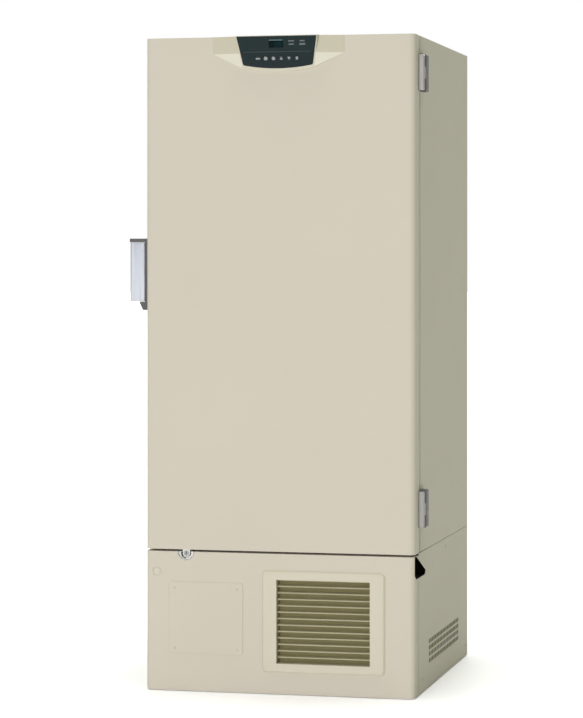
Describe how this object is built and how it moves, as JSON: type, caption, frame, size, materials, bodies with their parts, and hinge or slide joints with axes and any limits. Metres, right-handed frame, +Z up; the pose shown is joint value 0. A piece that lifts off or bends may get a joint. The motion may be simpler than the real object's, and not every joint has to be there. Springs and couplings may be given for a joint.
{
  "type": "ultra low temperature freezer",
  "caption": "Upright laboratory freezer: insulated outer door with side latch and top control panel, inner doors, shelved cold chamber and a machine space behind a louvred panel.",
  "frame": {"origin": "middle of the overall box in x and y, on the floor under the levelling feet", "axes": "+Z up, -Y out of the door's front, +X to the hinge side (the user's right when facing the door)"},
  "size_m": [0.8651, 0.9514, 1.88],
  "materials": {
    "cabinet_paint": "satin powder coat",
    "liner_steel": "brushed",
    "liner_white": "moulded, satin",
    "foam": "closed-cell foam",
    "seal_rubber": "matt",
    "hinge_chrome": "polished",
    "hinge_dark": "moulded cap",
    "grip_silver": "satin",
    "latch_grey": "moulded",
    "housing_cream": "moulded",
    "face_dark": "satin film",
    "window_glass": "tinted",
    "board_green": "circuit board",
    "key_grey": "moulded",
    "filter_mesh": "woven mesh",
    "pocket_black": "moulded",
    "frame_steel": "galvanised",
    "coil_copper": "drawn tube",
    "fin_aluminium": "thin sheet",
    "machine_black": "semi-gloss",
    "fan_grey": "moulded",
    "wheel_black": "hard rubber"
  },
  "bodies": {
    "cabinet": {"outer_shell": "cabinet_paint", "insulation_panels": "foam", "inner_liner": "liner_steel", "breaker_frame": "liner_white", "shelves": "liner_steel", "evaporator_coil": "coil_copper", "inner_door_brackets": "frame_steel", "hinge_cabinet_leaves": "hinge_dark", "latch_strike": "frame_steel", "panel_hinge_brackets": "frame_steel", "grip_pocket": "pocket_black", "base_plate": "frame_steel", "machine_frame": "frame_steel", "left_side_panel": "cabinet_paint", "right_side_panel": "cabinet_paint", "rear_machine_cover": "cabinet_paint", "power_inlet": "pocket_black", "rear_spacers": "frame_steel", "condenser_coil": "fin_aluminium", "fan_shroud": "machine_black", "fan_motor": "machine_black", "electrical_box": "frame_steel", "compressor_high_stage": "machine_black", "compressor_low_stage": "machine_black"},
    "outer_door": {"outer_door_skin": "cabinet_paint", "door_insulation": "foam", "door_liner": "liner_white", "door_gasket": "seal_rubber", "hinge_door_leaves": "hinge_chrome", "latch_base": "latch_grey", "control_housing": "housing_cream", "control_faceplate": "face_dark", "display_windows": "window_glass", "control_board": "board_green", "lock_housing": "housing_cream"},
    "latch_lever": {"latch_lever": "latch_grey", "latch_grip": "grip_silver"},
    "lock_cylinder": {"lock_cylinder": "frame_steel"},
    "upper_inner_door": {"upper_inner_door": "liner_white"},
    "lower_inner_door": {"lower_inner_door": "liner_white"},
    "front_panel": {"front_panel": "cabinet_paint", "intake_grille": "housing_cream", "air_filter": "filter_mesh", "recorder_cover": "cabinet_paint", "lock_bezel": "housing_cream"},
    "condenser_fan": {"condenser_fan": "fan_grey"},
    "key_1": {"key_1": "key_grey"},
    "key_2": {"key_2": "key_grey"},
    "key_3": {"key_3": "key_grey"},
    "key_4": {"key_4": "key_grey"},
    "key_5": {"key_5": "key_grey"},
    "key_6": {"key_6": "key_grey"},
    "levelling_foot_left": {"levelling_foot_left": "frame_steel"},
    "caster_fork_left": {"caster_fork_left": "frame_steel"},
    "front_wheel_left": {"front_wheel_left": "wheel_black"},
    "rear_wheel_left": {"rear_wheel_left": "wheel_black"},
    "levelling_foot_right": {"levelling_foot_right": "frame_steel"},
    "caster_fork_right": {"caster_fork_right": "frame_steel"},
    "front_wheel_right": {"front_wheel_right": "wheel_black"},
    "rear_wheel_right": {"rear_wheel_right": "wheel_black"}
  },
  "joints": [
    {"name": "outer_door_swing", "type": "hinge", "parent": "cabinet", "child": "outer_door", "pos_m": [0.42405, -0.36829, 1.153], "axis": [0, 0, 1], "range_deg": [0, 110]},
    {"name": "upper_inner_door_swing", "type": "hinge", "parent": "cabinet", "child": "upper_inner_door", "pos_m": [0.32505, -0.28829, 1.471], "axis": [0, 0, 1], "range_deg": [0, 90]},
    {"name": "lower_inner_door_swing", "type": "hinge", "parent": "cabinet", "child": "lower_inner_door", "pos_m": [0.32505, -0.28829, 0.817], "axis": [0, 0, 1], "range_deg": [0, 90]},
    {"name": "latch_lever_pull", "type": "hinge", "parent": "outer_door", "child": "latch_lever", "pos_m": [-0.38595, -0.40429, 1.202], "axis": [0, 0, 1], "range_deg": [0, 35]},
    {"name": "lock_turn", "type": "hinge", "parent": "outer_door", "child": "lock_cylinder", "pos_m": [-0.25495, -0.41929, 0.397], "axis": [0, -1, 0], "range_deg": [0, 90]},
    {"name": "front_panel_swing", "type": "hinge", "parent": "cabinet", "child": "front_panel", "pos_m": [-0.36895, -0.39429, 0.206], "axis": [0, 0, -1], "range_deg": [0, 95]},
    {"name": "condenser_fan_spin", "type": "hinge", "parent": "cabinet", "child": "condenser_fan", "pos_m": [0.15045, -0.29529, 0.235], "axis": [0, 1, 0], "continuous": true},
    {"name": "key_1_press", "type": "slide", "parent": "outer_door", "child": "key_1", "axis": [0, 0.9673, 0.2536], "range_m": [0, 0.001], "stiffness_N_per_m": 300},
    {"name": "key_2_press", "type": "slide", "parent": "outer_door", "child": "key_2", "axis": [0, 0.9673, 0.2536], "range_m": [0, 0.001], "stiffness_N_per_m": 300},
    {"name": "key_3_press", "type": "slide", "parent": "outer_door", "child": "key_3", "axis": [0, 0.9673, 0.2536], "range_m": [0, 0.001], "stiffness_N_per_m": 300},
    {"name": "key_4_press", "type": "slide", "parent": "outer_door", "child": "key_4", "axis": [0, 0.9673, 0.2536], "range_m": [0, 0.001], "stiffness_N_per_m": 300},
    {"name": "key_5_press", "type": "slide", "parent": "outer_door", "child": "key_5", "axis": [0, 0.9673, 0.2536], "range_m": [0, 0.001], "stiffness_N_per_m": 300},
    {"name": "key_6_press", "type": "slide", "parent": "outer_door", "child": "key_6", "axis": [0, 0.9673, 0.2536], "range_m": [0, 0.001], "stiffness_N_per_m": 300},
    {"name": "levelling_foot_left_turn", "type": "hinge", "parent": "cabinet", "child": "levelling_foot_left", "pos_m": [-0.33795, -0.35429, 0.06], "axis": [0, 0, 1], "continuous": true},
    {"name": "caster_fork_left_swivel", "type": "hinge", "parent": "cabinet", "child": "caster_fork_left", "pos_m": [-0.27995, -0.27429, 0.09], "axis": [0, 0, 1], "continuous": true},
    {"name": "front_wheel_left_spin", "type": "hinge", "parent": "caster_fork_left", "child": "front_wheel_left", "pos_m": [-0.27995, -0.24929, 0.037], "axis": [1, 0, 0], "continuous": true},
    {"name": "rear_wheel_left_spin", "type": "hinge", "parent": "cabinet", "child": "rear_wheel_left", "pos_m": [-0.29995, 0.35571, 0.04], "axis": [1, 0, 0], "continuous": true},
    {"name": "levelling_foot_right_turn", "type": "hinge", "parent": "cabinet", "child": "levelling_foot_right", "pos_m": [0.37805, -0.35429, 0.06], "axis": [0, 0, 1], "continuous": true},
    {"name": "caster_fork_right_swivel", "type": "hinge", "parent": "cabinet", "child": "caster_fork_right", "pos_m": [0.32005, -0.27429, 0.09], "axis": [0, 0, 1], "continuous": true},
    {"name": "front_wheel_right_spin", "type": "hinge", "parent": "caster_fork_right", "child": "front_wheel_right", "pos_m": [0.32005, -0.24929, 0.037], "axis": [1, 0, 0], "continuous": true},
    {"name": "rear_wheel_right_spin", "type": "hinge", "parent": "cabinet", "child": "rear_wheel_right", "pos_m": [0.34005, 0.35571, 0.04], "axis": [1, 0, 0], "continuous": true}
  ],
  "couplings": [
    {"joint": "upper_inner_door_swing", "follows": "outer_door_swing", "ratio": 0.8},
    {"joint": "lower_inner_door_swing", "follows": "outer_door_swing", "ratio": 0.8}
  ]
}
